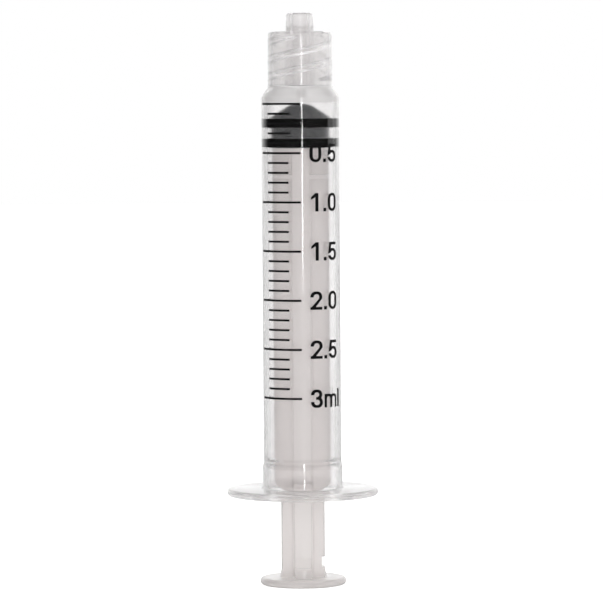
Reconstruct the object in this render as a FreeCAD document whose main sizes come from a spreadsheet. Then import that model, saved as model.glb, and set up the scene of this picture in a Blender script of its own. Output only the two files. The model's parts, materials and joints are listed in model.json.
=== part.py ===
"""A 3 ml disposable syringe with a luer-lock nozzle, standing on its thumb disc.

Three moulded pieces make the syringe: the barrel, the rubber stopper and the plunger rod.
The printed scale on the barrel is three more pieces of thin ink.
Millimetres, +Z up towards the nozzle, origin at the centre of the thumb disc's underside.
"""
import FreeCAD, Part
import Sketcher
import math
import os
from FreeCAD import Placement, Rotation, Vector

document = FreeCAD.newDocument("Syringe")
sheet = document.addObject("Spreadsheet::Sheet", "Sizes")


# ---------------------------------------------------------------- sizes
class Size:
    """A length or angle with its value and the expression that gives it from the sheet."""

    def __init__(self, value, text):
        self.value = value
        self.text = text

    def __add__(self, other):
        other = as_size(other)
        return Size(self.value + other.value, f"({self.text} + {other.text})")

    def __sub__(self, other):
        other = as_size(other)
        return Size(self.value - other.value, f"({self.text} - {other.text})")

    def __mul__(self, other):
        other = as_size(other)
        return Size(self.value * other.value, f"({self.text} * {other.text})")

    def __truediv__(self, other):
        other = as_size(other)
        return Size(self.value / other.value, f"({self.text} / {other.text})")


def as_size(number):
    """A plain number as a Size, so that both mix in one sum."""
    if isinstance(number, Size):
        return number
    return Size(number, f"{number:.6f}")


def tangent(angle):
    """The tangent of an angle given in degrees."""
    return Size(math.tan(math.radians(angle.value)), f"tan({angle.text} * 1 deg)")


def size(name, value, note):
    """Writes one driving dimension into the sheet and returns it."""
    row = size.next_row
    size.next_row += 1
    sheet.set(f"A{row}", name)
    sheet.set(f"B{row}", str(value))
    sheet.set(f"C{row}", note)
    sheet.setAlias(f"B{row}", name)
    return Size(value, f"Sizes.{name}")


size.next_row = 1

# barrel tube
bore_radius = size("bore_radius", 4.725, "inside of the barrel")
barrel_wall = size("barrel_wall", 0.975, "wall of the barrel tube")
scale_foot = size("scale_foot", 14.53, "flange underside to the scale's last line")
bore_end_angle = size("bore_end_angle", 33.0, "slope of the bore's conical end, degrees")
end_wall = size("end_wall", 0.8, "plastic between the end of the bore and the outer shoulder")
shoulder_rise = size("shoulder_rise", 1.4, "height of the outer shoulder cone")

# mouth of the barrel, with the bead that keeps the stopper in
mouth_flare = size("mouth_flare", 0.15, "how much the tube widens at the mouth, outside")
mouth_height = size("mouth_height", 4.3, "height of the widened stretch")
mouth_run = size("mouth_run", 0.6, "height over which the mouth narrows to the tube")
mouth_play = size("mouth_play", 0.3, "how much the bore widens at the mouth")
bead_height = size("bead_height", 4.9, "flange underside to the middle of the bead")
bead_width = size("bead_width", 1.3, "foot of the bead along the bore")
bead_crest = size("bead_crest", 0.26, "crest of the bead along the bore")
bead_depth = size("bead_depth", 0.3, "how far the bead stands into the bore")

# finger flange
flange_radius = size("flange_radius", 11.08, "finger flange")
flange_thickness = size("flange_thickness", 1.1, "finger flange")

# luer-lock collar and nozzle
collar_wall = size("collar_wall", 0.68, "wall of the collar at its rim")
collar_draft = size("collar_draft", 0.06, "how much wider the collar is at its foot")
collar_height = size("collar_height", 8.1, "shoulder to the collar's rim")
collar_depth = size("collar_depth", 7.83, "rim to the floor inside the collar")
thread_root_radius = size("thread_root_radius", 4.0, "inside wall of the collar")
thread_depth = size("thread_depth", 0.48, "how far the thread stands in from the wall")
thread_lead = size("thread_lead", 5.0, "rise of one turn")
thread_turns_height = size("thread_turns_height", 5.6, "how far each thread climbs")
thread_foot = size("thread_foot", 1.1, "width of the thread at the wall")
thread_crest = size("thread_crest", 0.45, "width of the thread at its crest")
nozzle_tip_radius = size("nozzle_tip_radius", 1.975, "luer cone at its tip")
nozzle_taper = size("nozzle_taper", 0.03, "radius gained per millimetre: the 6 % luer cone")
nozzle_reach = size("nozzle_reach", 2.7, "how far the nozzle stands past the rim")
channel_radius = size("channel_radius", 1.05, "fluid channel")

# stopper
stopper_clearance = size("stopper_clearance", 0.04, "gap between a sealing rib and the bore")
rib_height = size("rib_height", 1.45, "each sealing rib")
groove_height = size("groove_height", 1.4, "groove between the sealing ribs")
groove_depth = size("groove_depth", 0.45, "groove between the sealing ribs")
home_line_gap = size("home_line_gap", 0.2, "first rib to the bore's end with the plunger home")
nose_step = size("nose_step", 0.19, "ledge on top of the first rib")
nose_tip_radius = size("nose_tip_radius", 1.3, "flat top of the stopper's nose")

# plunger rod
thumb_radius = size("thumb_radius", 6.29, "thumb disc")
thumb_thickness = size("thumb_thickness", 1.1, "thumb disc")
home_gap = size("home_gap", 9.9, "thumb disc to finger flange with the plunger home")
rest_pull = size("rest_pull", 2.1, "how far the plunger is drawn out at rest")
rib_thickness = size("rib_thickness", 2.4, "each rib of the rod's cross")
rod_clearance = size("rod_clearance", 0.275, "gap between the rod's ribs and the bead")
grip_radius = size("grip_radius", 3.2, "reach of the ribs at the thumb end")
rod_foot_flare = size("rod_foot_flare", 0.25, "how much the ribs spread where they meet the disc")
foot_flare_height = size("foot_flare_height", 1.2, "height over which the ribs spread")
grip_overlap = size("grip_overlap", 1.0, "how far the slim ribs run up into the barrel at rest")
root_fillet = size("root_fillet", 0.45, "fillet between two ribs")
guide_disc_thickness = size("guide_disc_thickness", 0.6, "thin disc below the stopper")
guide_disc_drop = size("guide_disc_drop", 3.9, "stopper's base to the thin disc's top")
push_disc_thickness = size("push_disc_thickness", 1.0, "disc that pushes the stopper")
neck_radius = size("neck_radius", 1.9, "neck inside the stopper")
head_radius = size("head_radius", 2.7, "barbed head inside the stopper")
neck_height = size("neck_height", 1.5, "neck inside the stopper")
head_height = size("head_height", 1.9, "barbed head inside the stopper")
barb_height = size("barb_height", 0.76, "straight foot of the barbed head")
head_tip_radius = size("head_tip_radius", 1.2, "top of the barbed head")
seat_gap = size("seat_gap", 0.05, "push disc to the stopper's base")
socket_clearance = size("socket_clearance", 0.06, "gap between the head and its socket")
notch_height = size("notch_height", 1.5, "snap-off notch in the ribs")
notch_depth = size("notch_depth", 0.45, "snap-off notch in the ribs")
notch_centre = size("notch_centre", 3.35, "thumb disc's underside to the middle of the notch")
notch_start = size("notch_start", 0.7, "how far past the middle the front notch begins")

# printed scale
dose_step = size("dose_step", 100.0, "cubic millimetres from one line to the next")
dose_steps = size("dose_steps", 30.0, "number of steps on the scale")
steps_per_major = size("steps_per_major", 5.0, "steps from one long line to the next")
ink_thickness = size("ink_thickness", 0.03, "printed ink")
line_thickness = size("line_thickness", 0.3, "height of a printed line")
scale_azimuth = size("scale_azimuth", -37.0, "middle of the lines, degrees from the front")
major_sweep = size("major_sweep", 74.0, "sweep of a long line, degrees")
minor_sweep = size("minor_sweep", 38.0, "sweep of a short line, degrees")
numeral_start = size("numeral_start", 1.3, "front to the numerals, round the barrel")
numeral_height = size("numeral_height", 2.66, "height of the numerals")
digit_width = size("digit_width", 1.86, "width of one numeral")
upright_stroke = size("upright_stroke", 0.5, "width of an upright stroke")
level_stroke = size("level_stroke", 0.4, "height of a level stroke")
letter_gap = size("letter_gap", 0.32, "gap between two characters")

# roundings
rim_rounding = size("rim_rounding", 0.5, "edges of the flange and the thumb disc")
collar_rounding = size("collar_rounding", 0.5, "outer edge of the collar's rim")
tip_rounding = size("tip_rounding", 0.45, "outer edge of the nozzle's tip")
rubber_rounding = size("rubber_rounding", 0.2, "edges of the sealing ribs")
nose_rounding = size("nose_rounding", 1.0, "edge of the stopper's nose")

document.recompute()

# levels worked out from the driving dimensions, in the frame of the whole syringe
barrel_radius = bore_radius + barrel_wall
collar_radius = thread_root_radius + collar_wall
thread_crest_radius = thread_root_radius - thread_depth
rod_radius = bore_radius - bead_depth - rod_clearance
line_drop = dose_step / (bore_radius * bore_radius * math.pi)
zero_line_level = scale_foot + line_drop * dose_steps
bore_length = zero_line_level + home_line_gap
flange_level = thumb_thickness + home_gap + rest_pull
bore_end_level = flange_level + bore_length
stopper_height = rib_height * 2 + groove_height
stopper_level = bore_end_level - home_line_gap - rest_pull - stopper_height
stopper_radius = bore_radius - stopper_clearance
nose_foot_radius = stopper_radius - nose_step
nose_height = (nose_foot_radius - nose_tip_radius) * tangent(bore_end_angle)
push_disc_level = stopper_level - seat_gap

# levels in the barrel's own frame, which starts at the flange's underside
bore_cone_height = (bore_radius - channel_radius) * tangent(bore_end_angle)
shoulder_level = bore_length + end_wall
collar_level = shoulder_level + shoulder_rise
collar_rim_level = collar_level + collar_height
collar_floor_level = collar_rim_level - collar_depth
nozzle_tip_level = collar_rim_level + nozzle_reach


# ---------------------------------------------------------------- helpers
CUT_PAST = 1.0  # how far a cut runs past the solid, so that it leaves no skin
FUSE_OVERLAP = 0.15  # how far an added solid sinks into the one that carries it
NEAR = 1e-3  # two lengths closer than this are the same
UPRIGHT = 0.999  # an edge or face is upright when its direction has this much of one axis


def origin_plane(body, role):
    """The origin plane of a body that has this role."""
    return next(f for f in body.Origin.OriginFeatures if f.Role == role)


def pin_point(sketch, curve, end, across, up):
    """Holds the end of a sketch curve at a place given by two sizes."""
    for kind, axis, place in (("DistanceX", -2, across), ("DistanceY", -1, up)):
        if place.value == 0:
            sketch.addConstraint(Sketcher.Constraint("PointOnObject", curve, end, axis))
            continue
        number = sketch.addConstraint(Sketcher.Constraint(kind, -1, 1, curve, end, place.value))
        sketch.setExpression(f"Constraints[{number}]", place.text)


def draw_outline(sketch, points):
    """Draws a closed outline of straight lines whose corners are pairs of sizes."""
    first = sketch.GeometryCount
    corners = [(as_size(across), as_size(up)) for across, up in points]
    places = [Vector(across.value, up.value, 0) for across, up in corners]
    for number, place in enumerate(places):
        following = places[(number + 1) % len(places)]
        sketch.addGeometry(Part.LineSegment(place, following), False)
    for number, (across, up) in enumerate(corners):
        following = first + (number + 1) % len(places)
        sketch.addConstraint(Sketcher.Constraint("Coincident", first + number, 2, following, 1))
        pin_point(sketch, first + number, 1, across, up)


def draw_box(sketch, width, height):
    """Draws a rectangle about the sketch's origin."""
    half_width = width.value / 2
    half_height = height.value / 2
    corners = [Vector(-half_width, -half_height, 0), Vector(half_width, -half_height, 0),
               Vector(half_width, half_height, 0), Vector(-half_width, half_height, 0)]
    for number in range(4):
        sketch.addGeometry(Part.LineSegment(corners[number], corners[(number + 1) % 4]), False)
    for number in range(4):
        sketch.addConstraint(Sketcher.Constraint("Coincident", number, 2, (number + 1) % 4, 1))
    for number in (0, 2):
        sketch.addConstraint(Sketcher.Constraint("Horizontal", number))
    for number in (1, 3):
        sketch.addConstraint(Sketcher.Constraint("Vertical", number))
    sketch.addConstraint(Sketcher.Constraint("Symmetric", 0, 1, 2, 1, -1, 1))
    across = sketch.addConstraint(Sketcher.Constraint("DistanceX", 0, 1, 0, 2, width.value))
    sketch.setExpression(f"Constraints[{across}]", width.text)
    along = sketch.addConstraint(Sketcher.Constraint("DistanceY", 1, 1, 1, 2, height.value))
    sketch.setExpression(f"Constraints[{along}]", height.text)


def new_sketch(body, name, role):
    """A sketch on one of the body's origin planes."""
    sketch = body.newObject("Sketcher::SketchObject", name)
    sketch.AttachmentSupport = (origin_plane(body, role), [""])
    sketch.MapMode = "FlatFace"
    return sketch


def turned(body, name, points, cut=False):
    """Adds or cuts a full turn of an outline given as (radius, height) pairs."""
    sketch = new_sketch(body, name + "Outline", "XZ_Plane")
    draw_outline(sketch, points)
    kind = "PartDesign::Groove" if cut else "PartDesign::Revolution"
    feature = body.newObject(kind, name)
    feature.Profile = sketch
    feature.ReferenceAxis = (sketch, ["V_Axis"])
    feature.Angle = 360.0
    document.recompute()
    return feature


def cut_away(feature, before):
    """Stops the build when a cut has taken nothing away."""
    if feature.Shape.Volume >= before - NEAR:
        raise RuntimeError(f"{feature.Name} cuts nothing")


def ring_edges(shape, radius, level):
    """Names of the circular edges about Z with this radius at this height."""
    names = []
    for number, edge in enumerate(shape.Edges, start=1):
        if not isinstance(edge.Curve, Part.Circle):
            continue
        same_radius = abs(edge.Curve.Radius - radius.value) < NEAR
        same_level = abs(edge.Curve.Center.z - level.value) < NEAR
        if same_radius and same_level:
            names.append(f"Edge{number}")
    return names


def rounded(body, name, rounding, places):
    """Fillets the circular edges that lie at the given (radius, height) places."""
    base = body.Tip
    names = [edge for radius, level in places
             for edge in ring_edges(base.Shape, as_size(radius), as_size(level))]
    if len(names) < len(places):
        raise RuntimeError(f"{name} finds {len(names)} of {len(places)} edges")
    fillet = body.newObject("PartDesign::Fillet", name)
    fillet.Base = (base, names)
    fillet.setExpression("Radius", rounding.text)
    document.recompute()
    return fillet


def new_body(label, level):
    """An empty body whose frame starts at the given height."""
    body = document.addObject("PartDesign::Body", label)
    body.Label = label
    body.setExpression("Placement.Base.z", as_size(level).text)
    document.recompute()
    return body


# ---------------------------------------------------------------- barrel
def make_thread(body):
    """Two helical threads inside the collar, half a turn apart."""
    foot_level = collar_floor_level + (collar_depth - thread_turns_height) * 0.5
    half_foot = thread_foot * 0.5
    half_crest = thread_crest * 0.5
    sketch = new_sketch(body, "ThreadOutline", "XZ_Plane")
    draw_outline(sketch, [
        (thread_root_radius + FUSE_OVERLAP, foot_level - half_foot),
        (thread_crest_radius, foot_level - half_crest),
        (thread_crest_radius, foot_level + half_crest),
        (thread_root_radius + FUSE_OVERLAP, foot_level + half_foot),
    ])
    thread = body.newObject("PartDesign::AdditiveHelix", "Thread")
    thread.Profile = sketch
    thread.ReferenceAxis = (sketch, ["V_Axis"])
    thread.Mode = "pitch-height-angle"
    thread.setExpression("Pitch", thread_lead.text)
    thread.setExpression("Height", thread_turns_height.text)
    thread.Angle = 0
    thread.LeftHanded = False
    document.recompute()
    starts = body.newObject("PartDesign::PolarPattern", "ThreadStarts")
    starts.Originals = [thread]
    starts.Axis = (sketch, ["V_Axis"])
    starts.Angle = 360
    starts.Occurrences = 2
    body.Tip = starts
    document.recompute()


def make_barrel():
    """Tube, finger flange, shoulder, luer-lock collar and nozzle, moulded as one piece."""
    body = new_body("barrel", flange_level)
    mouth_radius = barrel_radius + mouth_flare
    turned(body, "Outside", [
        (0, 0),
        (flange_radius, 0),
        (flange_radius, flange_thickness),
        (mouth_radius, flange_thickness),
        (mouth_radius, mouth_height),
        (barrel_radius, mouth_height + mouth_run),
        (barrel_radius, shoulder_level),
        (collar_radius + collar_draft, collar_level),
        (collar_radius, collar_rim_level),
        (0, collar_rim_level),
    ])
    rounded(body, "FlangeRim", rim_rounding,
            [(flange_radius, 0), (flange_radius, flange_thickness)])
    rounded(body, "FlangeFoot", rim_rounding, [(mouth_radius, flange_thickness)])
    rounded(body, "CollarRim", collar_rounding, [(collar_radius, collar_rim_level)])

    before = body.Shape.Volume
    recess = turned(body, "CollarRecess", [
        (0, collar_floor_level),
        (thread_root_radius, collar_floor_level),
        (thread_root_radius, collar_rim_level + CUT_PAST),
        (0, collar_rim_level + CUT_PAST),
    ], cut=True)
    cut_away(recess, before)
    make_thread(body)

    nozzle_foot_radius = nozzle_tip_radius + nozzle_taper * (nozzle_tip_level - collar_floor_level)
    turned(body, "Nozzle", [
        (0, collar_floor_level - FUSE_OVERLAP),
        (nozzle_foot_radius, collar_floor_level - FUSE_OVERLAP),
        (nozzle_foot_radius, collar_floor_level),
        (nozzle_tip_radius, nozzle_tip_level),
        (0, nozzle_tip_level),
    ])
    rounded(body, "NozzleTip", tip_rounding, [(nozzle_tip_radius, nozzle_tip_level)])

    before = body.Shape.Volume
    bore = turned(body, "Bore", [
        (0, -CUT_PAST),
        (bore_radius + mouth_play, -CUT_PAST),
        (bore_radius + mouth_play, 0),
        (bore_radius + mouth_play * 0.5, bead_height - bead_width * 0.5),
        (bore_radius - bead_depth, bead_height - bead_crest * 0.5),
        (bore_radius - bead_depth, bead_height + bead_crest * 0.5),
        (bore_radius, bead_height + bead_width * 0.5),
        (bore_radius, bore_length),
        (channel_radius, bore_length + bore_cone_height),
        (channel_radius, nozzle_tip_level + CUT_PAST),
        (0, nozzle_tip_level + CUT_PAST),
    ], cut=True)
    cut_away(bore, before)
    return body


# ---------------------------------------------------------------- stopper
def make_stopper():
    """Rubber stopper: two sealing ribs, a conical nose and a socket for the rod's head."""
    body = new_body("stopper", stopper_level)
    groove_radius = stopper_radius - groove_depth
    second_rib = rib_height + groove_height
    turned(body, "Rubber", [
        (0, 0),
        (stopper_radius, 0),
        (stopper_radius, rib_height),
        (groove_radius, rib_height),
        (groove_radius, second_rib),
        (stopper_radius, second_rib),
        (stopper_radius, stopper_height),
        (nose_foot_radius, stopper_height),
        (nose_tip_radius, stopper_height + nose_height),
        (0, stopper_height + nose_height),
    ])
    rounded(body, "RibEdges", rubber_rounding, [
        (stopper_radius, 0),
        (stopper_radius, rib_height),
        (stopper_radius, second_rib),
    ])
    rounded(body, "NoseEdge", nose_rounding, [(nose_tip_radius, stopper_height + nose_height)])

    before = body.Shape.Volume
    play = socket_clearance
    socket = turned(body, "Socket", [
        (0, -CUT_PAST),
        (neck_radius + play, -CUT_PAST),
        (neck_radius + play, neck_height - seat_gap - play),
        (head_radius + play, neck_height - seat_gap - play),
        (head_radius + play, neck_height + barb_height - seat_gap + play),
        (head_tip_radius + play, neck_height + head_height - seat_gap + play),
        (0, neck_height + head_height - seat_gap + play),
    ], cut=True)
    cut_away(socket, before)
    return body


# ---------------------------------------------------------------- plunger rod
def make_rib(body, name, width, depth):
    """One straight rib of the cross, from the thumb disc to the push disc."""
    sketch = new_sketch(body, name + "Section", "XY_Plane")
    draw_box(sketch, width, depth)
    rib = body.newObject("PartDesign::Pad", name)
    rib.Profile = sketch
    rib.setExpression("Length", push_disc_level.text)
    document.recompute()


def root_edges(shape):
    """Names of the four upright edges where two ribs meet."""
    half = rib_thickness.value / 2
    names = []
    for number, edge in enumerate(shape.Edges, start=1):
        middle = edge.valueAt((edge.FirstParameter + edge.LastParameter) / 2)
        upright = abs(edge.tangentAt(edge.FirstParameter).z) > UPRIGHT
        at_root = abs(abs(middle.x) - half) < NEAR and abs(abs(middle.y) - half) < NEAR
        if upright and at_root:
            names.append(f"Edge{number}")
    return names


def cut_front_notch(body):
    """A shallow round-ended slot in the front rib's face."""
    before = body.Shape.Volume
    sketch = new_sketch(body, "FrontNotchOutline", "XZ_Plane")
    half = notch_height * 0.5
    reach = rod_radius
    left = -notch_start.value
    right = reach.value
    low = notch_centre.value - half.value
    high = notch_centre.value + half.value
    sketch.addGeometry(Part.LineSegment(Vector(left, low, 0), Vector(right, low, 0)), False)
    sketch.addGeometry(Part.LineSegment(Vector(right, low, 0), Vector(right, high, 0)), False)
    sketch.addGeometry(Part.LineSegment(Vector(right, high, 0), Vector(left, high, 0)), False)
    circle = Part.Circle(Vector(left, notch_centre.value, 0), Vector(0, 0, 1), half.value)
    arc = Part.ArcOfCircle(circle, math.radians(90), math.radians(270))
    sketch.addGeometry(arc, False)
    sketch.addConstraint(Sketcher.Constraint("Coincident", 0, 2, 1, 1))
    sketch.addConstraint(Sketcher.Constraint("Coincident", 1, 2, 2, 1))
    sketch.addConstraint(Sketcher.Constraint("Tangent", 2, 2, 3, 1))
    sketch.addConstraint(Sketcher.Constraint("Tangent", 3, 2, 0, 1))
    sketch.addConstraint(Sketcher.Constraint("Horizontal", 0))
    sketch.addConstraint(Sketcher.Constraint("Vertical", 1))
    number = sketch.addConstraint(Sketcher.Constraint("DistanceY", 1, 1, 1, 2, high - low))
    sketch.setExpression(f"Constraints[{number}]", notch_height.text)
    number = sketch.addConstraint(Sketcher.Constraint("DistanceX", 3, 3, -1, 1, -left))
    sketch.setExpression(f"Constraints[{number}]", notch_start.text)
    number = sketch.addConstraint(Sketcher.Constraint("DistanceY", -1, 1, 3, 3, notch_centre.value))
    sketch.setExpression(f"Constraints[{number}]", notch_centre.text)
    number = sketch.addConstraint(Sketcher.Constraint("DistanceX", -1, 1, 1, 1, right))
    sketch.setExpression(f"Constraints[{number}]", reach.text)
    sketch.setExpression("AttachmentOffset.Base.z", (grip_radius - notch_depth).text)
    notch = body.newObject("PartDesign::Pocket", "FrontNotch")
    notch.Profile = sketch
    notch.setExpression("Length", rod_radius.text)
    notch.Reversed = True
    document.recompute()
    cut_away(notch, before)


def cut_side_notch(body):
    """A square notch across the end of the right-hand rib."""
    before = body.Shape.Volume
    sketch = new_sketch(body, "SideNotchOutline", "XZ_Plane")
    half = notch_height * 0.5
    draw_outline(sketch, [
        (grip_radius - notch_depth, notch_centre - half),
        (rod_radius + CUT_PAST, notch_centre - half),
        (rod_radius + CUT_PAST, notch_centre + half),
        (grip_radius - notch_depth, notch_centre + half),
    ])
    notch = body.newObject("PartDesign::Pocket", "SideNotch")
    notch.Profile = sketch
    notch.Midplane = True
    notch.setExpression("Length", (rod_radius * 2).text)
    document.recompute()
    cut_away(notch, before)


def make_rod():
    """Plunger rod: a cross of four ribs between the thumb disc and the stopper's head."""
    body = new_body("plunger_rod", 0)
    rough_span = (rod_radius + CUT_PAST) * 2
    make_rib(body, "WideRib", rough_span, rib_thickness)
    make_rib(body, "DeepRib", rib_thickness, rough_span)
    cross = body.Tip
    fillet = body.newObject("PartDesign::Fillet", "RibRoots")
    fillet.Base = (cross, root_edges(cross.Shape))
    fillet.setExpression("Radius", root_fillet.text)
    document.recompute()

    before = body.Shape.Volume
    step_level = flange_level + grip_overlap
    beyond = rod_radius * 2
    profile = turned(body, "RibTips", [
        (grip_radius + rod_foot_flare, thumb_thickness),
        (grip_radius, thumb_thickness + foot_flare_height),
        (grip_radius, step_level),
        (rod_radius, step_level + (rod_radius - grip_radius)),
        (rod_radius, push_disc_level),
        (beyond, push_disc_level),
        (beyond, thumb_thickness),
    ], cut=True)
    cut_away(profile, before)
    cut_front_notch(body)
    cut_side_notch(body)

    turned(body, "ThumbDisc", [
        (0, 0),
        (thumb_radius, 0),
        (thumb_radius, thumb_thickness),
        (0, thumb_thickness),
    ])
    rounded(body, "ThumbRim", rim_rounding, [(thumb_radius, 0), (thumb_radius, thumb_thickness)])
    guide_level = stopper_level - guide_disc_drop
    turned(body, "GuideDisc", [
        (0, guide_level - guide_disc_thickness),
        (rod_radius, guide_level - guide_disc_thickness),
        (rod_radius, guide_level),
        (0, guide_level),
    ])
    turned(body, "PushDisc", [
        (0, push_disc_level - push_disc_thickness),
        (rod_radius, push_disc_level - push_disc_thickness),
        (rod_radius, push_disc_level),
        (0, push_disc_level),
    ])
    barb_level = push_disc_level + neck_height
    turned(body, "Head", [
        (0, push_disc_level - FUSE_OVERLAP),
        (neck_radius, push_disc_level - FUSE_OVERLAP),
        (neck_radius, barb_level),
        (head_radius, barb_level),
        (head_radius, barb_level + barb_height),
        (head_tip_radius, barb_level + head_height),
        (0, barb_level + head_height),
    ])
    return body


# ---------------------------------------------------------------- printed scale
def make_lines(label, sweep, steps):
    """Ink lines at these steps below the zero line, as one turned group."""
    sketch = document.addObject("Sketcher::SketchObject", label + "_outline")
    start = math.radians(-90.0 + scale_azimuth.value - sweep.value / 2)
    upright = Rotation(Vector(math.cos(start), math.sin(start), 0), Vector(0, 0, 1),
                       Vector(math.sin(start), -math.cos(start), 0), "XYZ")
    sketch.Placement = Placement(Vector(0, 0, 0), upright)
    outside = barrel_radius + ink_thickness
    for step in steps:
        middle = zero_line_level - line_drop * step
        draw_outline(sketch, [
            (barrel_radius, middle - line_thickness * 0.5),
            (outside, middle - line_thickness * 0.5),
            (outside, middle + line_thickness * 0.5),
            (barrel_radius, middle + line_thickness * 0.5),
        ])
    lines = document.addObject("Part::Revolution", label)
    lines.Label = label
    lines.Source = sketch
    lines.Axis = Vector(0, 0, 1)
    lines.Base = Vector(0, 0, 0)
    lines.setExpression("Angle", sweep.text)
    lines.Solid = True
    lines.FaceMakerClass = "Part::FaceMakerBullseye"
    lines.setExpression("Placement.Base.z", flange_level.text)
    document.recompute()
    return lines


# One printed character is drawn on a flat plate in front of the barrel and cut out of the film.
# Across is X, up is Z, and the plate reaches from the axis to outside the film.
# Places inside a character are shares of its width and height, so that it scales as a whole.
PLATE_DEPTH = barrel_radius.value + CUT_PAST
FULLY_ROUND = 0.49  # corner rounding as a share of a side that leaves almost nothing straight


def block(left, right, low, high, rounding=0.0):
    """A plate with these edges and rounded corners."""
    plate = Part.makeBox(right - left, PLATE_DEPTH, high - low, Vector(left, -PLATE_DEPTH, low))
    rounding = min(rounding, (right - left) * FULLY_ROUND, (high - low) * FULLY_ROUND)
    if rounding > 0:
        corners = [edge for edge in plate.Edges if abs(edge.tangentAt(0).y) > UPRIGHT]
        plate = plate.makeFillet(rounding, corners)
    return plate


def slanted(points):
    """A plate with these corners, given as (across, up) pairs."""
    corners = [Vector(across, 0, up) for across, up in points]
    return Part.Face(Part.makePolygon(corners + corners[:1])).extrude(Vector(0, -PLATE_DEPTH, 0))


def loop(low, high, width):
    """A closed oval loop of ink with upright sides and thinner top and bottom."""
    side = upright_stroke.value
    level = level_stroke.value
    outer = block(0, width, low, high, width * FULLY_ROUND)
    inner = block(side, width - side, low + level, high - level, width * FULLY_ROUND)
    return outer.cut(inner)


def draw_zero(width, height):
    return loop(0, height, width)


def draw_one(width, height):
    side = upright_stroke.value
    right = width * 0.72
    flag_left = right - side * 2.3
    flag_top = height * 0.78
    flag_foot = height * 0.64
    stem = block(right - side, right, 0, height)
    flag = slanted([(right - side, height), (flag_left, flag_top),
                    (flag_left, flag_foot), (right - side, flag_top)])
    return stem.fuse(flag).removeSplitter()


def draw_two(width, height):
    side = upright_stroke.value
    level = level_stroke.value
    bowl_low = height * 0.4
    turn = height * 0.62
    foot_reach = side * 1.3
    bowl = loop(bowl_low, height, width)
    open_side = block(-CUT_PAST, width * 0.5, 0, height * 0.68)
    below = block(-CUT_PAST, width + CUT_PAST, 0, turn)
    diagonal = slanted([(0, level * 0.5), (foot_reach, level * 0.5), (width, turn),
                        (width - side, turn)])
    foot = block(0, width, 0, level)
    return bowl.cut(open_side).cut(below).fuse([diagonal, foot]).removeSplitter()


def draw_three(width, height):
    side = upright_stroke.value
    level = level_stroke.value
    middle = height * 0.52
    upper = loop(middle - level * 0.5, height, width * 0.94)
    lower = loop(0, middle + level * 0.5, width)
    gap = block(-CUT_PAST, width * 0.42, height * 0.33, height * 0.7)
    return upper.fuse(lower).cut(gap).removeSplitter()


def draw_five(width, height):
    side = upright_stroke.value
    level = level_stroke.value
    stem_left = width * 0.14
    bowl = loop(0, height * 0.66, width)
    gap = block(-CUT_PAST, side * 1.05, height * 0.27, height * 0.52)
    top = block(stem_left, width * 0.93, height - level, height)
    stem = slanted([(0, height * 0.36), (side, height * 0.42),
                    (stem_left + side * 0.9, height), (stem_left, height)])
    return bowl.cut(gap).fuse([top, stem]).removeSplitter()


def draw_point(width, height):
    return block(0, width, 0, width)


def draw_m(width, height):
    side = upright_stroke.value * 0.8
    level = level_stroke.value * 0.9
    arch_high = height * 0.74
    arch_wide = (width + side) / 2
    arches = []
    for left in (0, width - arch_wide):
        outer = block(left, left + arch_wide, -height, arch_high, arch_wide * 0.4)
        inner = block(left + side, left + arch_wide - side, -height, arch_high - level,
                      arch_wide * 0.3)
        arches.append(outer.cut(inner))
    stem = block(0, side, 0, arch_high)
    above = block(-CUT_PAST, width + CUT_PAST, 0, height)
    return arches[0].fuse([arches[1], stem]).common(above).removeSplitter()


def draw_l(width, height):
    return block(0, width, 0, height)


CHARACTERS = {"0": draw_zero, "1": draw_one, "2": draw_two, "3": draw_three, "5": draw_five,
              ".": draw_point, "m": draw_m, "l": draw_l}


def character_width(character):
    """How much room a character takes round the barrel."""
    if character in (".", "l"):
        return upright_stroke.value
    if character == "m":
        return digit_width.value * 1.35
    return digit_width.value


def print_label(film, text, level):
    """Cuts the characters of one label out of the ink film, side by side round the barrel."""
    characters = []
    height = numeral_height.value
    start = numeral_start.value
    for character in text:
        width = character_width(character)
        plate = CHARACTERS[character](width, height)
        turn = math.degrees((start + width / 2) / barrel_radius.value)
        plate.translate(Vector(-width / 2, 0, level - height / 2))
        plate.rotate(Vector(0, 0, 0), Vector(0, 0, 1), turn)
        characters += plate.common(film).Solids
        start += width + letter_gap.value
    return characters


MM3_PER_ML = 1000.0


def make_numerals():
    """The numbers of the scale, each level with its long line."""
    top = zero_line_level.value + numeral_height.value
    tube = Part.makeCylinder(barrel_radius.value + ink_thickness.value, top)
    film = tube.cut(Part.makeCylinder(barrel_radius.value, top))
    half_ml = steps_per_major.value * dose_step.value / MM3_PER_ML
    count = int(dose_steps.value / steps_per_major.value)
    characters = []
    for number in range(1, count + 1):
        text = f"{number * half_ml:.1f}"
        if number == count:
            text = f"{number * half_ml:.0f}ml"
        level = zero_line_level - line_drop * (number * steps_per_major.value)
        characters += print_label(film, text, level.value)
    numerals = document.addObject("Part::Feature", "scale_numerals")
    numerals.Label = "scale_numerals"
    numerals.Shape = Part.makeCompound(characters)
    numerals.Placement = Placement(Vector(0, 0, flange_level.value), Rotation())
    return numerals


# ---------------------------------------------------------------- build, check, write
def check_and_write(pieces):
    """Stops on any failed feature or shape, then writes one file per piece."""
    for thing in document.Objects:
        if "Invalid" in thing.State or "Error" in thing.State:
            raise RuntimeError(f"{thing.Name} failed: {thing.State}")
    for piece in pieces:
        if piece.Shape.isNull() or not piece.Shape.isValid():
            raise RuntimeError(f"{piece.Label} has no valid shape")
    os.makedirs("parts", exist_ok=True)
    for piece in pieces:
        piece.Shape.exportStep(f"parts/{piece.Label}.step")
        box = piece.Shape.BoundBox
        print(f"{piece.Label}: {len(piece.Shape.Solids)} solid(s), {piece.Shape.Volume:.2f} mm3, "
              f"Z {box.ZMin:.2f} to {box.ZMax:.2f}")


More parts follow.
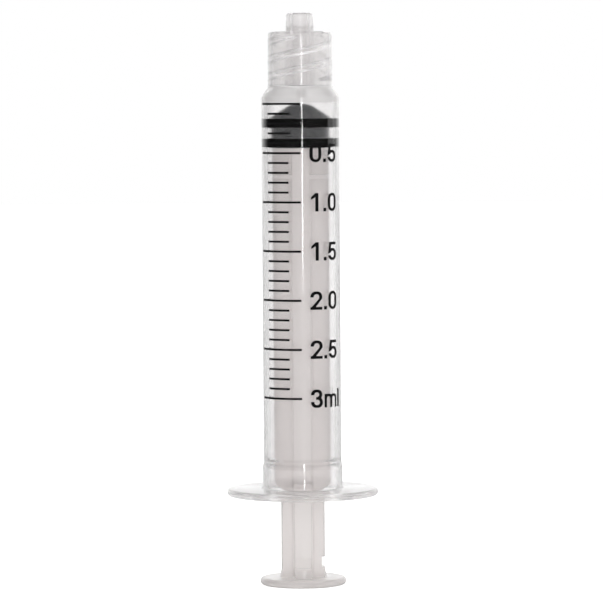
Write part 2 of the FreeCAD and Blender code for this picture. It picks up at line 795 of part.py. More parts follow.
major_steps = range(0, int(dose_steps.value) + 1, int(steps_per_major.value))
minor_steps = [step for step in range(int(dose_steps.value)) if step not in major_steps]

pieces = [
    make_barrel(),
    make_stopper(),
    make_rod(),
    make_lines("scale_major_lines", major_sweep, major_steps),
    make_lines("scale_minor_lines", minor_sweep, minor_steps),
    make_numerals(),
]
document.recompute()
check_and_write(pieces)
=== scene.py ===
# %% [markdown]
# # A disposable syringe
# The syringe stands on its thumb disc with the nozzle up. Its shapes, sizes and moving bodies come
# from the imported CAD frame. This notebook gives the pieces their finish, builds finer meshes where
# a clear wall shows every facet, and sets up a small white studio.

# %% Load the frame
import bpy
import bmesh
import json
import math
from mathutils import Matrix, Vector


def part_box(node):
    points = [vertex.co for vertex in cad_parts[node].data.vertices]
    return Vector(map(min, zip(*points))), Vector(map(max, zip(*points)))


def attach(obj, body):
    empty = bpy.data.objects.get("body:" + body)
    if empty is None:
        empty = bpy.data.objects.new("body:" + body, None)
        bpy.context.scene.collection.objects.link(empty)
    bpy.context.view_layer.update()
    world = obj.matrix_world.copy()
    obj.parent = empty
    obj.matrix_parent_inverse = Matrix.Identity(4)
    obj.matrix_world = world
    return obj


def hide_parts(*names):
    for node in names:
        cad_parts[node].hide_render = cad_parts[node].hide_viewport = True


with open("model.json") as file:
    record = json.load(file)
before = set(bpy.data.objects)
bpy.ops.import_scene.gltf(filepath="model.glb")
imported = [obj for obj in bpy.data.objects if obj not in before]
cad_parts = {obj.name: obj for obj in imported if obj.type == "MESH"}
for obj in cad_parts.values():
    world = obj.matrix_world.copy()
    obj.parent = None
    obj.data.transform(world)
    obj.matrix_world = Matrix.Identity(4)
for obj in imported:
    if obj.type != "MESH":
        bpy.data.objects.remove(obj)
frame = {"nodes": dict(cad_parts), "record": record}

bpy.context.view_layer.update()

# %% [markdown]
# ## Sizes
# One millimetre is written as `MM`, so a size reads as it would on a drawing. Whatever the frame
# knows is taken from it: the box of each piece, and the radii that the mounts state. `TINY` is a
# thousandth of a millimetre: two points closer than that count as one.

# %% Sizes from the frame
MM = 0.001
TINY = 1e-6
scene = bpy.context.scene
barrel_low, barrel_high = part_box("barrel")
stopper_low, stopper_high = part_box("stopper")
rod_low, rod_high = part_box("plunger_rod")
mounts = {mount["name"]: mount for mount in frame["record"]["mounts"]}
barrel_radius = mounts["barrel_outside"]["dims"]["r_mm"] * MM
channel_radius = mounts["fluid_channel"]["dims"]["r_mm"] * MM
wall_thickness = 0.975 * MM
bore_radius = barrel_radius - wall_thickness
print(f"barrel {barrel_radius / MM:.2f} mm, bore {bore_radius / MM:.3f} mm, "
      f"height {(barrel_high.z - rod_low.z) / MM:.1f} mm")

# %% [markdown]
# ## Helpers for turned pieces
# Barrel and stopper are bodies of revolution, so each starts as half of its section: a loop of
# points in the plane of X and Z. `bmesh.ops.spin` turns the loop round Z. A corner that is rounded
# on the real moulding is bevelled afterwards, by picking the ring of edges that the corner made.

# %% Turning, rounding and finishing helpers
def turn_section(points, steps):
    """A closed section of (radius, height) points, turned into a solid of revolution."""
    work = bmesh.new()
    verts = [work.verts.new((radius, 0.0, height)) for radius, height in points]
    for number, vert in enumerate(verts):
        work.edges.new((vert, verts[(number + 1) % len(verts)]))
    bmesh.ops.spin(work, geom=work.verts[:] + work.edges[:], cent=(0, 0, 0), axis=(0, 0, 1),
                   angle=math.tau, steps=steps, use_merge=True)
    bmesh.ops.remove_doubles(work, verts=work.verts, dist=TINY)
    bmesh.ops.recalc_face_normals(work, faces=work.faces)
    return work


def ring_of_edges(work, radius, height):
    """The edges of the ring that a section's corner made."""
    def on_ring(vert):
        return (abs(math.hypot(vert.co.x, vert.co.y) - radius) < TINY
                and abs(vert.co.z - height) < TINY)
    return [edge for edge in work.edges if all(on_ring(vert) for vert in edge.verts)]


def round_ring(work, radius, height, rounding, segments=4):
    """Rounds the corner that a section has at this radius and height."""
    bmesh.ops.bevel(work, geom=ring_of_edges(work, radius, height), offset=rounding,
                    segments=segments, profile=0.5, affect="EDGES", material=-1)


def make_piece(name, work, sharp_angle=40):
    """Turns a bmesh into an object that is smooth up to a given angle."""
    mesh = bpy.data.meshes.new(name)
    work.to_mesh(mesh)
    work.free()
    mesh.shade_smooth()
    mesh.set_sharp_from_angle(angle=math.radians(sharp_angle))
    piece = bpy.data.objects.new(name, mesh)
    scene.collection.objects.link(piece)
    print(f"{name}: {len(mesh.polygons)} faces")
    return piece

# %% [markdown]
# ## Node helpers
# Every material here is a Principled BSDF with a few pattern nodes in front of it. The helpers
# below start a material, add a node with its values, and make and place a node group. `add_pattern`
# adds a noise that is tied to the piece, so the pattern travels with a piece that moves.

# %% Node helpers
def new_material(name):
    """A material with an empty Principled BSDF, returned with its tree and shader."""
    material = bpy.data.materials.new(name)
    material.use_nodes = True
    tree = material.node_tree
    return material, tree, tree.nodes["Principled BSDF"]


def add_node(tree, kind, **values):
    """A node of this kind, with its properties set by name and its inputs by 'in_' names."""
    node = tree.nodes.new(kind)
    for name, value in values.items():
        if name.startswith("in_"):
            node.inputs[name[3:].replace("_", " ")].default_value = value
        else:
            setattr(node, name, value)
    return node


def add_span(tree, low, high, **values):
    """A Map Range node that turns a mask from 0 to 1 into values from low to high."""
    node = add_node(tree, "ShaderNodeMapRange", **values)
    node.inputs["To Min"].default_value = low
    node.inputs["To Max"].default_value = high
    return node


def add_blend(tree, low, high):
    """A colour Mix node between two colours, given without their alpha."""
    node = add_node(tree, "ShaderNodeMix", data_type="RGBA")
    node.inputs["A"].default_value = (*low, 1.0)
    node.inputs["B"].default_value = (*high, 1.0)
    return node


def add_pattern(tree, place, scale, detail):
    """A noise in the piece's own coordinates."""
    node = add_node(tree, "ShaderNodeTexNoise", in_Scale=scale, in_Detail=detail)
    tree.links.new(place.outputs["Object"], node.inputs["Vector"])
    return node


def group_with(name, inputs, outputs):
    """A shader node group with named sockets, and its input and output nodes."""
    group = bpy.data.node_groups.new(name, "ShaderNodeTree")
    for label, kind, value in inputs:
        socket = group.interface.new_socket(label, in_out="INPUT", socket_type=kind)
        if value is not None:
            socket.default_value = value
    for label, kind in outputs:
        group.interface.new_socket(label, in_out="OUTPUT", socket_type=kind)
    return group, group.nodes.new("NodeGroupInput"), group.nodes.new("NodeGroupOutput")


def place_group(tree, group, **values):
    """A node group placed in a material, with its inputs set."""
    node = tree.nodes.new("ShaderNodeGroup")
    node.node_tree = group
    for name, value in values.items():
        node.inputs[name.replace("_", " ")].default_value = value
    return node

# %% [markdown]
# ## Moulded surface
# Injection moulded plastic is never quite even. It flows along the piece and freezes with faint
# streaks, and handling leaves fine scuffs that run mostly along it. One node group gives both:
# `Streak` is a slow wander stretched along Z and `Scuff` is a mask of fine marks.

# %% Moulded surface group
STREAK_SCALE = 260.0
SCUFF_SCALE = 900.0
STRETCH_ALONG_Z = 0.12
SCUFF_START = 0.58
SCUFF_FULL = 0.74
SCUFF_HEIGHT = 0.35


def build_moulded_surface():
    """The node group: a stretched noise for the streaks and a finer one for the scuffs."""
    group, inside, outside = group_with(
        "moulded surface",
        [("Streak Scale", "NodeSocketFloat", STREAK_SCALE),
         ("Scuff Scale", "NodeSocketFloat", SCUFF_SCALE)],
        [("Streak", "NodeSocketFloat"), ("Scuff", "NodeSocketFloat"), ("Height", "NodeSocketFloat")])
    place = add_node(group, "ShaderNodeTexCoord")
    stretch = add_node(group, "ShaderNodeMapping", vector_type="POINT")
    stretch.inputs["Scale"].default_value = (1.0, 1.0, STRETCH_ALONG_Z)
    streak = add_node(group, "ShaderNodeTexNoise", in_Detail=3.0, in_Roughness=0.55)
    scuff = add_node(group, "ShaderNodeTexNoise", in_Detail=5.0, in_Roughness=0.65)
    sharpen = add_node(group, "ShaderNodeMapRange")
    sharpen.inputs["From Min"].default_value = SCUFF_START
    sharpen.inputs["From Max"].default_value = SCUFF_FULL
    both = add_node(group, "ShaderNodeMath", operation="MULTIPLY_ADD")
    both.inputs[1].default_value = SCUFF_HEIGHT
    link = group.links.new
    link(place.outputs["Object"], stretch.inputs["Vector"])
    link(stretch.outputs["Vector"], streak.inputs["Vector"])
    link(stretch.outputs["Vector"], scuff.inputs["Vector"])
    link(inside.outputs["Streak Scale"], streak.inputs["Scale"])
    link(inside.outputs["Scuff Scale"], scuff.inputs["Scale"])
    link(scuff.outputs["Fac"], sharpen.inputs["Value"])
    link(scuff.outputs["Fac"], both.inputs[0])
    link(streak.outputs["Fac"], both.inputs[2])
    link(streak.outputs["Fac"], outside.inputs["Streak"])
    link(sharpen.outputs["Result"], outside.inputs["Scuff"])
    link(both.outputs["Value"], outside.inputs["Height"])
    return group


moulded_surface = build_moulded_surface()

# %% [markdown]
# ## Clear and milky plastic
# Natural polypropylene lets light through and scatters part of it, so the barrel looks like frosted
# water, not like glass. A Principled BSDF does this with a Transmission Weight below one: that part
# refracts, and the rest is a soft white body colour. The rod is thicker, so it scatters more.
#
# A volume of fog would be truer, but it is slow and noisy in walls this thin. So the barrel has
# four surface finishes of one plastic: the polished outside of the tube is nearly clear, the bore
# is drawn off its core pin and a little dull, the flange, collar and nozzle are hazy, and the solid
# shoulder between tube and collar is the milkiest. Where a wall is seen at a slant, light crosses
# more of it, so Layer Weight deepens the tint there.

# %% Plastic materials
PLASTIC_IOR = 1.49
SKIN_ROUGHNESS = 0.08
RELIEF_STRENGTH = 0.02
RELIEF_DEPTH = 0.005 * MM
SLANT_START = 0.05
SLANT_FULL = 0.6


def make_plastic(name, clear, tint_low, tint_high, rough_low, rough_high, edge_tint, skin):
    """Polypropylene: clear is the part that refracts, the rest is milky.

    The tint and the roughness wander between their low and high values, edge_tint is the share of
    light that a slanting wall keeps, and skin is the glossy coat.
    """
    material, tree, shader = new_material(name)
    surface = place_group(tree, moulded_surface)
    tint = add_blend(tree, tint_low, tint_high)
    rough = add_span(tree, rough_low, rough_high)
    relief = add_node(tree, "ShaderNodeBump", in_Strength=RELIEF_STRENGTH,
                      in_Distance=RELIEF_DEPTH)
    slant = add_node(tree, "ShaderNodeLayerWeight", in_Blend=0.5)
    thicker = add_span(tree, 1.0, edge_tint, interpolation_type="SMOOTHSTEP")
    thicker.inputs["From Min"].default_value = SLANT_START
    thicker.inputs["From Max"].default_value = SLANT_FULL
    deepen = add_node(tree, "ShaderNodeVectorMath", operation="SCALE")
    link = tree.links.new
    link(surface.outputs["Streak"], tint.inputs["Factor"])
    link(slant.outputs["Facing"], thicker.inputs["Value"])
    link(tint.outputs["Result"], deepen.inputs["Vector"])
    link(thicker.outputs["Result"], deepen.inputs["Scale"])
    link(deepen.outputs["Vector"], shader.inputs["Base Color"])
    link(surface.outputs["Scuff"], rough.inputs["Value"])
    link(rough.outputs["Result"], shader.inputs["Roughness"])
    link(surface.outputs["Height"], relief.inputs["Height"])
    link(relief.outputs["Normal"], shader.inputs["Normal"])
    shader.inputs["IOR"].default_value = PLASTIC_IOR
    shader.inputs["Transmission Weight"].default_value = clear
    shader.inputs["Coat Weight"].default_value = skin
    shader.inputs["Coat Roughness"].default_value = SKIN_ROUGHNESS
    shader.inputs["Coat IOR"].default_value = PLASTIC_IOR
    print(f"{name}: {clear:.0%} clear")
    return material


clear_plastic = make_plastic("clear_plastic", 0.997, (0.975, 0.965, 0.965), (0.99, 0.98, 0.978),
                             0.07, 0.11, edge_tint=0.60, skin=0.8)
bore_plastic = make_plastic("bore_plastic", 0.975, (0.965, 0.955, 0.96), (0.985, 0.972, 0.972),
                            0.20, 0.26, edge_tint=1.0, skin=0.5)
hazy_plastic = make_plastic("hazy_plastic", 0.81, (0.962, 0.950, 0.955), (0.988, 0.970, 0.965),
                            0.16, 0.22, edge_tint=0.97, skin=0.8)
thick_plastic = make_plastic("thick_plastic", 0.45, (0.965, 0.945, 0.945), (0.985, 0.965, 0.96),
                             0.20, 0.28, edge_tint=1.0, skin=0.8)
milky_plastic = make_plastic("milky_plastic", 0.60, (0.91, 0.865, 0.85), (0.94, 0.90, 0.885),
                             0.28, 0.40, edge_tint=0.95, skin=0.6)

# %% [markdown]
# ## Rubber and ink
# The stopper is black synthetic rubber under a film of silicone oil: dark, with a soft sheen. The
# scale is screen printed, so its ink is matt and a little uneven at its edges.

# %% Rubber and ink materials
GRAIN_SCALE = 2600.0
BLOOM_SCALE = 420.0
PRINT_SCALE = 1800.0
GRAIN_STRENGTH = 0.25
GRAIN_DEPTH = 0.03 * MM
# Painted shade: near the wall the rubber's colour fades to a deeper black. It stands in for the
# missing reflection where the ribs touch the plastic, not for a darker rubber.
CONTACT_SHADE_DEPTH = 0.1 * MM
CONTACT_SHADE_BLACK = (0.002, 0.002, 0.002)
RUBBER_SHEEN = 0.03
INK_SHEEN = 0.12


def make_rubber():
    """Black stopper rubber with a fine moulded grain, and painted shade that makes it blacker where
    its ribs touch the wall.
    """
    material, tree, shader = new_material("black_rubber")
    place = add_node(tree, "ShaderNodeTexCoord")
    grain = add_pattern(tree, place, GRAIN_SCALE, 4.0)
    bloom = add_pattern(tree, place, BLOOM_SCALE, 3.0)
    flatten = add_node(tree, "ShaderNodeVectorMath", operation="MULTIPLY")
    flatten.inputs[1].default_value = (1.0, 1.0, 0.0)
    reach = add_node(tree, "ShaderNodeVectorMath", operation="LENGTH")
    free = add_node(tree, "ShaderNodeMapRange")
    free.inputs["From Min"].default_value = bore_radius
    free.inputs["From Max"].default_value = bore_radius - CONTACT_SHADE_DEPTH
    free.inputs["To Min"].default_value = 0.0
    tint = add_blend(tree, (0.004, 0.006, 0.009), (0.010, 0.013, 0.019))
    # Painted shade: the colour mixes to the deeper black near the wall.
    painted_contact_shade = add_node(tree, "ShaderNodeMix", data_type="RGBA")
    painted_contact_shade.inputs["A"].default_value = (*CONTACT_SHADE_BLACK, 1.0)
    rough = add_span(tree, 0.36, 0.56)
    relief = add_node(tree, "ShaderNodeBump", in_Strength=GRAIN_STRENGTH,
                      in_Distance=GRAIN_DEPTH)
    link = tree.links.new
    link(place.outputs["Object"], flatten.inputs[0])
    link(flatten.outputs["Vector"], reach.inputs[0])
    link(reach.outputs["Value"], free.inputs["Value"])
    link(bloom.outputs["Fac"], tint.inputs["Factor"])
    link(free.outputs["Result"], painted_contact_shade.inputs["Factor"])
    link(tint.outputs["Result"], painted_contact_shade.inputs["B"])
    link(painted_contact_shade.outputs["Result"], shader.inputs["Base Color"])
    link(bloom.outputs["Fac"], rough.inputs["Value"])
    link(rough.outputs["Result"], shader.inputs["Roughness"])
    link(grain.outputs["Fac"], relief.inputs["Height"])
    link(relief.outputs["Normal"], shader.inputs["Normal"])
    shader.inputs["Specular IOR Level"].default_value = RUBBER_SHEEN
    return material


def make_ink():
    """Matt black screen printing ink, slightly uneven."""
    material, tree, shader = new_material("black_ink")
    place = add_node(tree, "ShaderNodeTexCoord")
    cover = add_pattern(tree, place, PRINT_SCALE, 4.0)
    tint = add_blend(tree, (0.002, 0.002, 0.002), (0.006, 0.006, 0.007))
    rough = add_span(tree, 0.45, 0.7)
    link = tree.links.new
    link(cover.outputs["Fac"], tint.inputs["Factor"])
    link(tint.outputs["Result"], shader.inputs["Base Color"])
    link(cover.outputs["Fac"], rough.inputs["Value"])
    link(rough.outputs["Result"], shader.inputs["Roughness"])
    shader.inputs["Specular IOR Level"].default_value = INK_SHEEN
    return material


black_rubber = make_rubber()
black_ink = make_ink()

# %% [markdown]
# ## Barrel
# The barrel is one hollow moulding from the finger flange to the luer tip. A clear wall shows every
# facet twice, so this piece replaces the CAD mesh with a finer one of the same section: outside and
# inside are one closed loop of points, turned round Z. The collar's inside wall gets many rings,
# because the next step raises the thread out of them. Separate pieces for the tube and the collar
# would be easier to draw, but a joint inside clear plastic would show.

# %% Barrel section
flange_level = barrel_low.z
flange_radius = barrel_high.x
flange_thickness = mounts["flange_face"]["pos_m"][2] - flange_level
mouth_radius = barrel_radius + 0.15 * MM
mouth_top = flange_level + 4.3 * MM
tube_foot = flange_level + 4.9 * MM
shoulder_level = flange_level + 58.3 * MM
collar_level = shoulder_level + 1.4 * MM
rim_level = barrel_high.z - 2.7 * MM
floor_level = rim_level - 7.83 * MM
collar_radius = 4.68 * MM
thread_root_radius = 4.0 * MM
thread_depth = 0.48 * MM
thread_lead = 5.0 * MM
nozzle_tip_radius = 1.975 * MM
nozzle_taper = 0.03
bore_end = flange_level + 57.5 * MM
BORE_END_DEGREES = 33
bore_slope = math.tan(math.radians(BORE_END_DEGREES))
bead_middle = tube_foot
bead_reach = 0.65 * MM
bead_depth = 0.3 * MM
shoulder_top_radius = collar_radius + 0.06 * MM
entry_radius = bore_radius + 0.15 * MM
entry_flare_radius = bore_radius + 0.3 * MM
nozzle_foot_radius = nozzle_tip_radius + nozzle_taper * (barrel_high.z - floor_level)
TURN_STEPS = 144
print(f"shoulder {shoulder_level / MM:.1f} mm, collar {collar_level / MM:.1f} to "
      f"{rim_level / MM:.1f} mm above the table")


def barrel_section():
    """Radius and height of each corner, up the outside and back down the inside."""
    outside = [
        (flange_radius, flange_level),
        (flange_radius, flange_level + flange_thickness),
        (mouth_radius, flange_level + flange_thickness),
        (mouth_radius, mouth_top),
        (barrel_radius, tube_foot),
        (barrel_radius, bore_end),
        (barrel_radius, shoulder_level),
        (shoulder_top_radius, collar_level),
        (collar_radius, rim_level),
        (thread_root_radius, rim_level),
        (thread_root_radius, floor_level),
        (nozzle_foot_radius, floor_level),
        (nozzle_tip_radius, barrel_high.z),
    ]
    inside = [
        (channel_radius, barrel_high.z),
        (channel_radius, bore_end + (bore_radius - channel_radius) * bore_slope),
        (bore_radius, bore_end),
        (bore_radius, bead_middle + bead_reach),
        (bore_radius - bead_depth, bead_middle),
        (entry_radius, bead_middle - bead_reach),
        (entry_flare_radius, flange_level),
    ]
    return outside + inside

# %% [markdown]
# ## Luer-lock thread
# Two threads wind up the collar's inside wall, half a turn apart, each rising 5 mm a turn. A ridge
# that follows a helix could be a separate swept piece, but clear plastic would show a gap where the
# two pieces meet. So the wall itself is moved: each vertex looks up how far it is from the nearest
# ridge and steps inwards by the ridge's height there.

# %% Raise the thread
THREAD_RINGS = 90
thread_start = floor_level + 1.115 * MM
thread_climb = 5.6 * MM
half_foot = 0.55 * MM
half_crest = 0.225 * MM
thread_fade = 0.5 * MM
shortest_wall_edge = 1 * MM


def thread_height(turn, height):
    """How far the thread stands in from the wall at this angle and height."""
    spacing = thread_lead / 2
    along = height - thread_start - thread_lead * turn / math.tau
    offset = abs((along + spacing / 2) % spacing - spacing / 2)
    flank = min(max((half_foot - offset) / (half_foot - half_crest), 0.0), 1.0)
    low = min(max((height - thread_start + thread_fade) / thread_fade, 0.0), 1.0)
    high = min(max((thread_start + thread_climb + thread_fade - height) / thread_fade, 0.0), 1.0)
    return thread_depth * flank * min(low, high)


def raise_thread(work):
    """Splits the collar's inside wall into rings and moves them to the thread's shape."""
    wall = [edge for edge in work.edges
            if all(abs(math.hypot(*vert.co.xy) - thread_root_radius) < TINY for vert in edge.verts)
            and abs(edge.verts[0].co.z - edge.verts[1].co.z) > shortest_wall_edge]
    made = bmesh.ops.subdivide_edges(work, edges=wall, cuts=THREAD_RINGS, use_grid_fill=True)
    verts = {item for item in made["geom_inner"] if isinstance(item, bmesh.types.BMVert)}
    verts |= {vert for edge in wall if edge.is_valid for vert in edge.verts}
    for vert in verts:
        if floor_level + TINY < vert.co.z < rim_level - TINY:
            turn = math.atan2(vert.co.y, vert.co.x)
            radius = thread_root_radius - thread_height(turn, vert.co.z)
            vert.co.x = radius * math.cos(turn)
            vert.co.y = radius * math.sin(turn)


# %% [markdown]
# ## Barrel mesh
# The section is turned and most of its corners are rounded. The thread is raised last, so that no
# bevel runs across it. Then every face gets one of the four finishes, by where its middle lies.

# %% Barrel
RIM_ROUNDING = 0.5 * MM
STEP_ROUNDING = 0.3 * MM
MOUTH_ROUNDING = 0.25 * MM


def build_barrel():
    """Turns the section, rounds the moulded edges and raises the thread."""
    work = turn_section(barrel_section(), TURN_STEPS)
    for radius, height, rounding in [
            (flange_radius, flange_level, RIM_ROUNDING),
            (flange_radius, flange_level + flange_thickness, RIM_ROUNDING),
            (mouth_radius, flange_level + flange_thickness, RIM_ROUNDING),
            (barrel_radius, shoulder_level, STEP_ROUNDING),
            (shoulder_top_radius, collar_level, STEP_ROUNDING),
            (collar_radius, rim_level, RIM_ROUNDING),
            (thread_root_radius, rim_level, 0.12 * MM),
            (nozzle_foot_radius, floor_level, 0.2 * MM),
            (nozzle_tip_radius, barrel_high.z, 0.45 * MM),
            (channel_radius, barrel_high.z, 0.15 * MM),
            (bore_radius, bead_middle + bead_reach, STEP_ROUNDING),
            (bore_radius - bead_depth, bead_middle, STEP_ROUNDING),
            (entry_radius, bead_middle - bead_reach, STEP_ROUNDING),
            (barrel_radius, tube_foot, MOUTH_ROUNDING),
            (mouth_radius, mouth_top, MOUTH_ROUNDING),
            (entry_flare_radius, flange_level, 0.2 * MM)]:
        round_ring(work, radius, height, rounding)
    raise_thread(work)
    return make_piece("clear_barrel", work, sharp_angle=35)


def finish_barrel(barrel):
    """Gives the tube's outside, the bore, the shoulder and the rest their own finish."""
    for material in (clear_plastic, bore_plastic, hazy_plastic, thick_plastic):
        barrel.data.materials.append(material)
    clear_face, bore_face, hazy_face, thick_face = range(4)
    for face in barrel.data.polygons:
        middle = face.center
        radius = math.hypot(middle.x, middle.y)
        on_tube = radius > barrel_radius - 0.2 * MM and middle.z < bore_end
        on_rim = radius > mouth_radius + 0.5 * MM
        if on_rim or middle.z > collar_level + 0.2 * MM:
            face.material_index = hazy_face
        elif on_tube:
            face.material_index = clear_face
        elif middle.z > bore_end and radius > collar_radius - 0.1 * MM:
            face.material_index = thick_face
        else:
            face.material_index = bore_face


clear_barrel = build_barrel()
finish_barrel(clear_barrel)
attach(clear_barrel, "barrel")
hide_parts("barrel")

# %% [markdown]
# ## Stopper
# The rubber is squeezed by the bore, and where its two ribs touch the wall there is no air left.
# Light then passes straight from plastic to rubber, which is why the ribs look black right out to
# the barrel's edge, while the nose and the groove stay inside the bore's outline. The CAD stopper
# keeps a running clearance, so this piece replaces it, with the same outside but its ribs pressed a
# hair into the wall. Inside it is simpler than the CAD stopper: one plain hole, narrower than the
# rod's head, so the head cuts through the rubber, where it can't be seen. A section that is turned
# as one loop stays clear of the axis, which leaves a small hole through the nose. It isn't a vent.

# %% Stopper
rib_height = 1.45 * MM
rib_gap = 1.4 * MM
press = 0.02 * MM
groove_radius = bore_radius - 0.49 * MM
nose_foot_radius = bore_radius - 0.23 * MM
nose_tip_radius = 1.3 * MM
socket_radius = 1.96 * MM
socket_depth = 4.0 * MM
axis_hole_radius = 0.4 * MM
RIB_ROUNDING = 0.18 * MM
GROOVE_ROUNDING = 0.12 * MM
NOSE_ROUNDING = 0.8 * MM
STOPPER_STEPS = 128


def build_stopper():
    """The stopper's section, turned, with soft moulded edges."""
    foot = stopper_low.z
    top = stopper_high.z
    rib_radius = bore_radius + press
    second_rib = foot + rib_height + rib_gap
    shoulder = second_rib + rib_height
    work = turn_section([
        (socket_radius, foot),
        (rib_radius, foot),
        (rib_radius, foot + rib_height),
        (groove_radius, foot + rib_height),
        (groove_radius, second_rib),
        (rib_radius, second_rib),
        (rib_radius, shoulder),
        (nose_foot_radius, shoulder),
        (nose_tip_radius, top),
        (axis_hole_radius, top),
        (axis_hole_radius, foot + socket_depth),
        (socket_radius, foot + socket_depth),
    ], steps=STOPPER_STEPS)
    for radius, height, rounding in [(rib_radius, foot, RIB_ROUNDING),
                                     (rib_radius, foot + rib_height, RIB_ROUNDING),
                                     (groove_radius, foot + rib_height, GROOVE_ROUNDING),
                                     (groove_radius, second_rib, GROOVE_ROUNDING),
                                     (rib_radius, second_rib, RIB_ROUNDING),
                                     (rib_radius, shoulder, GROOVE_ROUNDING),
                                     (nose_tip_radius, top, NOSE_ROUNDING)]:
        round_ring(work, radius, height, rounding)
    return make_piece("rubber_stopper", work, sharp_angle=50)


rubber_stopper = build_stopper()
rubber_stopper.data.materials.append(black_rubber)
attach(rubber_stopper, "stopper")
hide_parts("stopper")

# %% [markdown]
# ## Finish the CAD pieces
# These pieces keep their CAD meshes, so only the material in their slot changes.

# %% Materials on the CAD nodes
finishes = {"plunger_rod": milky_plastic,
            "scale_major_lines": black_ink, "scale_minor_lines": black_ink,
            "scale_numerals": black_ink}
for node, material in finishes.items():
    frame["nodes"][node].material_slots[0].material = material

# %% [markdown]
# ## Studio
# A pale floor and a pale surround. Light Path nodes give each kind of ray its own level, so the
# backdrop can be plain white while the plastic still has something darker to show: a clear wall in
# front of an evenly white room would hardly show its edges.

# %% Floor and surround
FLOOR_SIZE = 2.0
FLOOR_GLOW_SEEN = 0.7
FLOOR_GLOW_THROUGH = 0.38
ROOM_TURN_START = 0.3
ROOM_TURN_END = 0.85
LEFT_LEVEL = 0.95
RIGHT_LEVEL = 1.3


def make_floor():
    """A pale floor plate, wide enough to fill every view."""
    work = bmesh.new()
    bmesh.ops.create_grid(work, x_segments=8, y_segments=8, size=FLOOR_SIZE)
    floor = make_piece("floor", work)
    material, tree, shader = new_material("pale_floor")
    place = add_node(tree, "ShaderNodeTexCoord")
    cloud = add_pattern(tree, place, 6.0, 2.0)
    tint = add_blend(tree, (0.90, 0.90, 0.90), (0.93, 0.93, 0.93))
    tree.links.new(cloud.outputs["Fac"], tint.inputs["Factor"])
    tree.links.new(tint.outputs["Result"], shader.inputs["Base Color"])
    shader.inputs["Roughness"].default_value = 0.8
    shader.inputs["Specular IOR Level"].default_value = 0.1
    shader.inputs["Emission Color"].default_value = (1.0, 1.0, 1.0, 1.0)
    sight = add_node(tree, "ShaderNodeLightPath")
    seen = add_node(tree, "ShaderNodeMath", operation="MULTIPLY")
    seen.inputs[1].default_value = FLOOR_GLOW_SEEN
    glow = add_node(tree, "ShaderNodeMath", operation="MULTIPLY_ADD")
    glow.inputs[1].default_value = FLOOR_GLOW_THROUGH
    tree.links.new(sight.outputs["Is Camera Ray"], seen.inputs[0])
    tree.links.new(sight.outputs["Is Transmission Ray"], glow.inputs[0])
    tree.links.new(seen.outputs["Value"], glow.inputs[2])
    tree.links.new(glow.outputs["Value"], shader.inputs["Emission Strength"])
    floor.data.materials.append(material)


def make_surround(seen, through, mirrored, lit):
    """A white backdrop for the camera, and a room of its own for what the plastic shows.

    through is what a clear wall lets through and mirrored what a glossy skin reflects, each as the
    level towards the camera's side and the level behind the syringe; lit falls on a matt surface.
    """
    world = bpy.data.worlds.new("surround")
    world.use_nodes = True
    tree = world.node_tree
    back = tree.nodes["Background"]
    back.inputs["Color"].default_value = (1.0, 1.0, 1.0, 1.0)
    sight = add_node(tree, "ShaderNodeLightPath")
    place = add_node(tree, "ShaderNodeTexCoord")
    facing = add_node(tree, "ShaderNodeSeparateXYZ")
    tree.links.new(place.outputs["Generated"], facing.inputs["Vector"])
    previous = None
    for kind, (front, back_level) in (("Is Glossy Ray", mirrored), ("Is Transmission Ray", through),
                                      ("Is Camera Ray", (seen, seen))):
        room = add_span(tree, front, back_level, interpolation_type="SMOOTHSTEP")
        room.inputs["From Min"].default_value = ROOM_TURN_START
        room.inputs["From Max"].default_value = ROOM_TURN_END
        level = add_node(tree, "ShaderNodeMix", data_type="FLOAT", in_A=lit)
        tree.links.new(facing.outputs["Y"], room.inputs["Value"])
        tree.links.new(room.outputs["Result"], level.inputs["B"])
        tree.links.new(sight.outputs[kind], level.inputs["Factor"])
        if previous:
            tree.links.new(previous.outputs[0], level.inputs["A"])
        previous = level
        if kind == "Is Transmission Ray":
            side = add_span(tree, LEFT_LEVEL, RIGHT_LEVEL)
            side.inputs["From Min"].default_value = -1.0
            previous = add_node(tree, "ShaderNodeMath", operation="MULTIPLY")
            tree.links.new(facing.outputs["X"], side.inputs["Value"])
            tree.links.new(level.outputs["Result"], previous.inputs[0])
            tree.links.new(side.outputs["Result"], previous.inputs[1])
    tree.links.new(previous.outputs[0], back.inputs["Strength"])
    scene.world = world


make_floor()
make_surround(seen=1.0, through=(1.3, 0.88), mirrored=(0.01, 0.95), lit=0.72)

# %% [markdown]
# ## Lamps
# The tall thin lamp near the camera draws the bright line that a glossy tube always shows. Its
# height and length set where that line starts and ends. The wide lamp lights the right side.

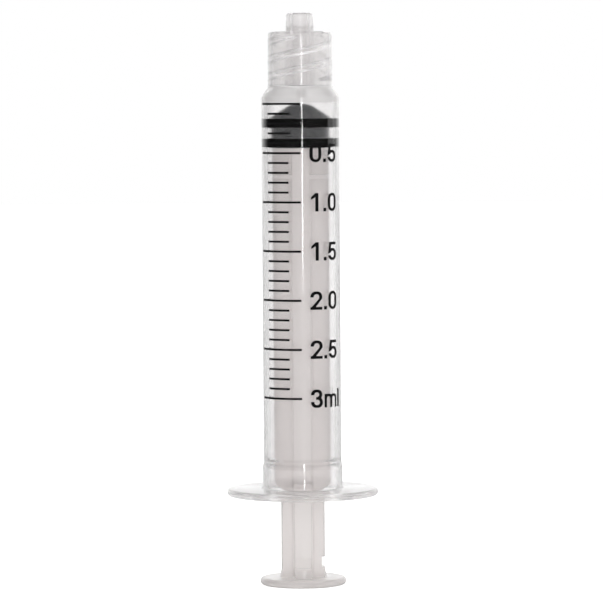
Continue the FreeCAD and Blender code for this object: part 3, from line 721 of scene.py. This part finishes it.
# %% Lamps
def add_lamp(name, azimuth, height, distance, width, tall, power):
    """A soft rectangular lamp that faces the middle of the syringe; azimuth 0 is the front."""
    lamp = bpy.data.lights.new(name, "AREA")
    lamp.shape = "RECTANGLE"
    lamp.size = width
    lamp.size_y = tall
    lamp.energy = power
    holder = bpy.data.objects.new(name, lamp)
    scene.collection.objects.link(holder)
    turn = math.radians(azimuth)
    spot = Vector((math.sin(turn) * distance, -math.cos(turn) * distance, height))
    aim = Vector((0.0, 0.0, barrel_high.z / 2))
    look = (aim - spot).to_track_quat("-Z", "Y").to_matrix().to_4x4()
    holder.matrix_world = Matrix.Translation(spot) @ look
    holder.visible_camera = False


add_lamp("line_lamp", azimuth=5.0, height=0.145, distance=0.55, width=0.012, tall=0.23, power=0.26)
add_lamp("right_lamp", azimuth=105.0, height=0.10, distance=0.60, width=0.35, tall=0.50, power=0.4)

# %% [markdown]
# ## Camera
# The camera looks down a little from the front. The lens is worked out from how tall a view should
# fit the frame at the camera's distance. The Standard view transform keeps white plastic white.

# %% Camera
SENSOR_WIDTH = 36.0
frame_height = 0.0882
camera_distance = 0.585
camera_pitch = math.radians(3.0)
camera_roll = math.radians(-0.4)
aim_height = 0.0415
camera_data = bpy.data.cameras.new("camera")
camera_data.sensor_width = SENSOR_WIDTH
camera_data.lens = camera_data.sensor_width * camera_distance / frame_height
camera = bpy.data.objects.new("camera", camera_data)
scene.collection.objects.link(camera)
toward = Vector((0.0, -math.cos(camera_pitch), math.sin(camera_pitch)))
camera.matrix_world = (Matrix.Translation(Vector((0, 0, aim_height)) + toward * camera_distance)
                       @ (-toward).to_track_quat("-Z", "Y").to_matrix().to_4x4()
                       @ Matrix.Rotation(camera_roll, 4, "Z"))
camera_data.clip_start = 0.01
camera_data.clip_end = 10.0
scene.camera = camera
scene.view_settings.view_transform = "Standard"

# %% [markdown]
# ## Light paths
# Light that enters a clear wall can run along inside it and bounce many times before it leaves.
# With the usual limit of 12 bounces such light is lost and leaves dark streaks low on the tube, so
# the limit is raised.

# %% Light paths
MOST_BOUNCES = 40
scene.cycles.max_bounces = MOST_BOUNCES
scene.cycles.transmission_bounces = MOST_BOUNCES
scene.cycles.glossy_bounces = MOST_BOUNCES

# %% [markdown]
# ## Finish

# %% Finish
bpy.context.view_layer.update()
